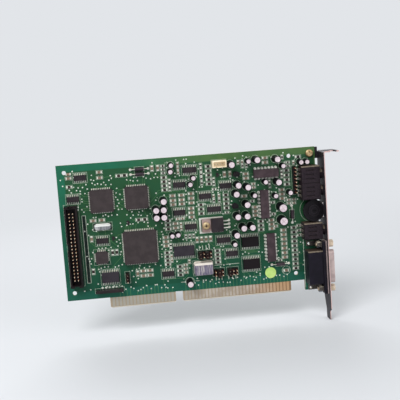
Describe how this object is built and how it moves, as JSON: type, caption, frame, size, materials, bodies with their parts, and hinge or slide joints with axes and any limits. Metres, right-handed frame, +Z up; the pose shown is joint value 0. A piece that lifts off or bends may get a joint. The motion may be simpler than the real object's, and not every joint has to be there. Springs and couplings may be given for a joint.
{
  "type": "isa sound card",
  "caption": "Sound card for a 16-bit expansion slot: a green circuit board with chips, capacitors, a drive header, jacks, a volume wheel and a game port on a folded bracket.",
  "frame": {"origin": "middle of the long contact tab's lower edge, half way through the board's thickness", "axes": "+X along the board towards the mounting bracket, -Y out of the component side, +Z up, away from the slot"},
  "size_m": [0.2018, 0.0196, 0.1277],
  "materials": {
    "green_laminate": "solder mask over glass fibre laminate, satin gloss",
    "gold_contacts": "thin gold plating, slightly worn",
    "plated_steel": "zinc plated sheet steel",
    "screw_steel": "yellow passivated steel",
    "black_plastic": "moulded thermoplastic, fine grain",
    "wheel_plastic": "moulded thermoplastic, grooved rim",
    "brown_phenolic": "pressed phenolic board",
    "tinned_metal": "bright tin plating",
    "chip_leads": "dull tin lead plating",
    "gold_pins": "gold plating",
    "yellow_steel": "yellow passivated steel",
    "chip_moulding": "fine matt epoxy moulding",
    "bright_can": "drawn metal can, satin",
    "black_glass": "dark base plate",
    "black_sleeve": "shrunk vinyl sleeve",
    "capacitor_aluminium": "satin aluminium",
    "dark_coating": "dipped coating",
    "resistor_glass": "glass coat on ceramic",
    "tan_ceramic": "unglazed ceramic",
    "ivory_nylon": "moulded nylon",
    "sticker_paper": "yellow-green paper",
    "solder": "bright solder"
  },
  "bodies": {
    "card": {"circuit_board": "green_laminate", "main_bus_contacts": "gold_contacts", "extension_bus_contacts": "gold_contacts", "mounting_bracket": "plated_steel", "bracket_screw": "screw_steel", "twin_jack_housing": "black_plastic", "speaker_jack_housing": "black_plastic", "jack_terminals": "tinned_metal", "volume_control_base": "brown_phenolic", "volume_control_terminals": "tinned_metal", "game_port_housing": "black_plastic", "game_port_shell": "tinned_metal", "game_port_sockets": "gold_pins", "game_port_screws": "yellow_steel", "game_port_board_locks": "tinned_metal", "drive_header_housing": "black_plastic", "drive_header_pins": "gold_pins", "large_j_lead_chip": "chip_moulding", "medium_j_lead_chips": "chip_moulding", "small_j_lead_chip": "chip_moulding", "j_leads": "chip_leads", "narrow_flat_chips": "chip_moulding", "wide_flat_chips": "chip_moulding", "narrow_chip_leads": "chip_leads", "wide_chip_leads": "chip_leads", "in_line_chips": "chip_moulding", "in_line_chip_leads": "chip_leads", "regulator_body": "chip_moulding", "regulator_tab": "tinned_metal", "regulator_leads": "tinned_metal", "regulator_screw": "yellow_steel", "crystal_can": "bright_can", "crystal_base": "black_glass", "oscillator_can": "bright_can", "small_capacitor_sleeves": "black_sleeve", "small_capacitor_cans": "capacitor_aluminium", "medium_capacitor_sleeves": "black_sleeve", "medium_capacitor_cans": "capacitor_aluminium", "large_capacitor_sleeves": "black_sleeve", "large_capacitor_cans": "capacitor_aluminium", "axial_part_bodies": "dark_coating", "axial_part_leads": "tinned_metal", "transistor_bodies": "chip_moulding", "resistor_network": "dark_coating", "chip_resistors": "resistor_glass", "chip_capacitors": "tan_ceramic", "chip_ends": "tinned_metal", "small_outline_transistors": "chip_moulding", "header_bases": "black_plastic", "header_pins": "gold_pins", "jumper_shunts": "black_plastic", "audio_connector_housing": "ivory_nylon", "audio_connector_pins": "tinned_metal", "inspection_sticker": "sticker_paper", "solder_joints": "solder"},
    "wheel": {"volume_wheel": "wheel_plastic", "volume_shaft": "wheel_plastic"}
  },
  "joints": [
    {"name": "volume_turn", "type": "hinge", "parent": "card", "child": "wheel", "pos_m": [0.0593, -0.0068, 0.0603], "axis": [0, -1, 0], "range_deg": [-140, 140]}
  ]
}
